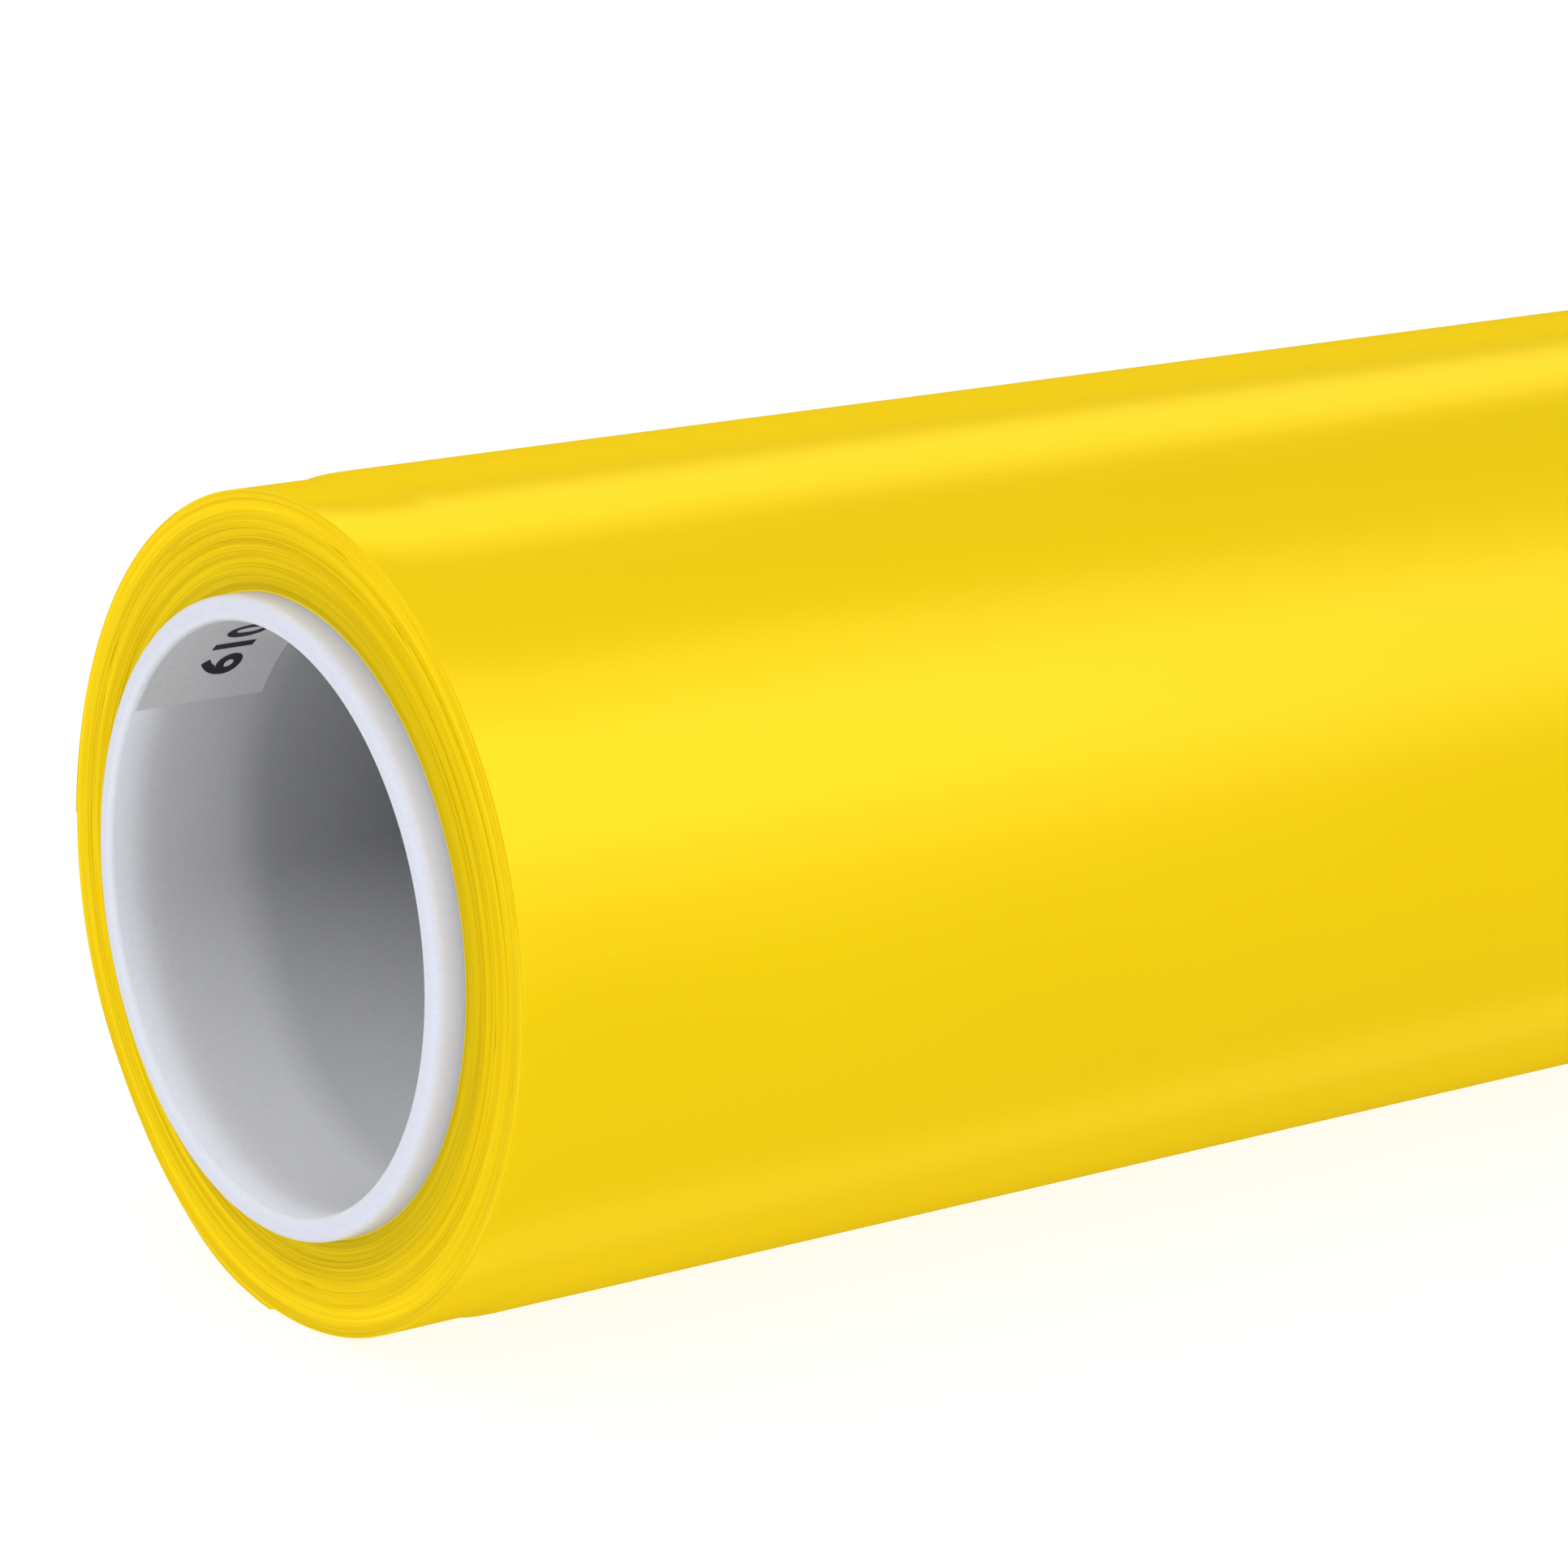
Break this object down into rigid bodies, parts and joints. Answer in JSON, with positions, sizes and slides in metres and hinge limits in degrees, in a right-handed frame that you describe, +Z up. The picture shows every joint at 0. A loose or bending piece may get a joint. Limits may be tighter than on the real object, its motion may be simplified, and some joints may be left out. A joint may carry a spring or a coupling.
{
  "type": "masking tape roll",
  "caption": "Wide roll of yellow film masking tape on a white plastic core that stands a little past the tape, with a paper label in the bore and a free end that peels back.",
  "frame": {"origin": "on the core's axis, at the middle of the roll's length", "axes": "+X along the core's axis, from the labelled end to the other; +Z up as the roll lies on its side; the tape's free end is on the +Y side"},
  "size_m": [0.6184, 0.1093, 0.1093],
  "materials": {
    "core_plastic": "white satin plastic, a little translucent",
    "tape_film": "yellow satin film",
    "label_paper": "matt white paper with dark print"
  },
  "bodies": {
    "roll": {"core_tube": "core_plastic", "core_label": "label_paper", "first_turns": "tape_film", "middle_turns": "tape_film", "outer_turns": "tape_film", "last_turns": "tape_film"},
    "tail_1": {"tail_strip_1": "tape_film"},
    "tail_2": {"tail_strip_2": "tape_film"},
    "tail_3": {"tail_strip_3": "tape_film"},
    "tail_4": {"tail_strip_4": "tape_film"},
    "tail_5": {"tail_strip_5": "tape_film"}
  },
  "joints": [
    {"name": "tail_lift", "type": "hinge", "parent": "roll", "child": "tail_1", "pos_m": [0, 0.02571, 0.0483], "axis": [1, 0, 0], "range_deg": [0, 25]},
    {"name": "tail_curl_2", "type": "hinge", "parent": "tail_1", "child": "tail_2", "pos_m": [0, 0.03514, 0.04194], "axis": [1, 0, 0], "range_deg": [0, 15]},
    {"name": "tail_curl_3", "type": "hinge", "parent": "tail_2", "child": "tail_3", "pos_m": [0, 0.04306, 0.03377], "axis": [1, 0, 0], "range_deg": [0, 15]},
    {"name": "tail_curl_4", "type": "hinge", "parent": "tail_3", "child": "tail_4", "pos_m": [0, 0.04912, 0.02414], "axis": [1, 0, 0], "range_deg": [0, 15]},
    {"name": "tail_curl_5", "type": "hinge", "parent": "tail_4", "child": "tail_5", "pos_m": [0, 0.05305, 0.01346], "axis": [1, 0, 0], "range_deg": [0, 15]}
  ],
  "couplings": [
    {"joint": "tail_curl_2", "follows": "tail_lift", "ratio": 0.56},
    {"joint": "tail_curl_3", "follows": "tail_lift", "ratio": 0.56},
    {"joint": "tail_curl_4", "follows": "tail_lift", "ratio": 0.56},
    {"joint": "tail_curl_5", "follows": "tail_lift", "ratio": 0.56}
  ]
}
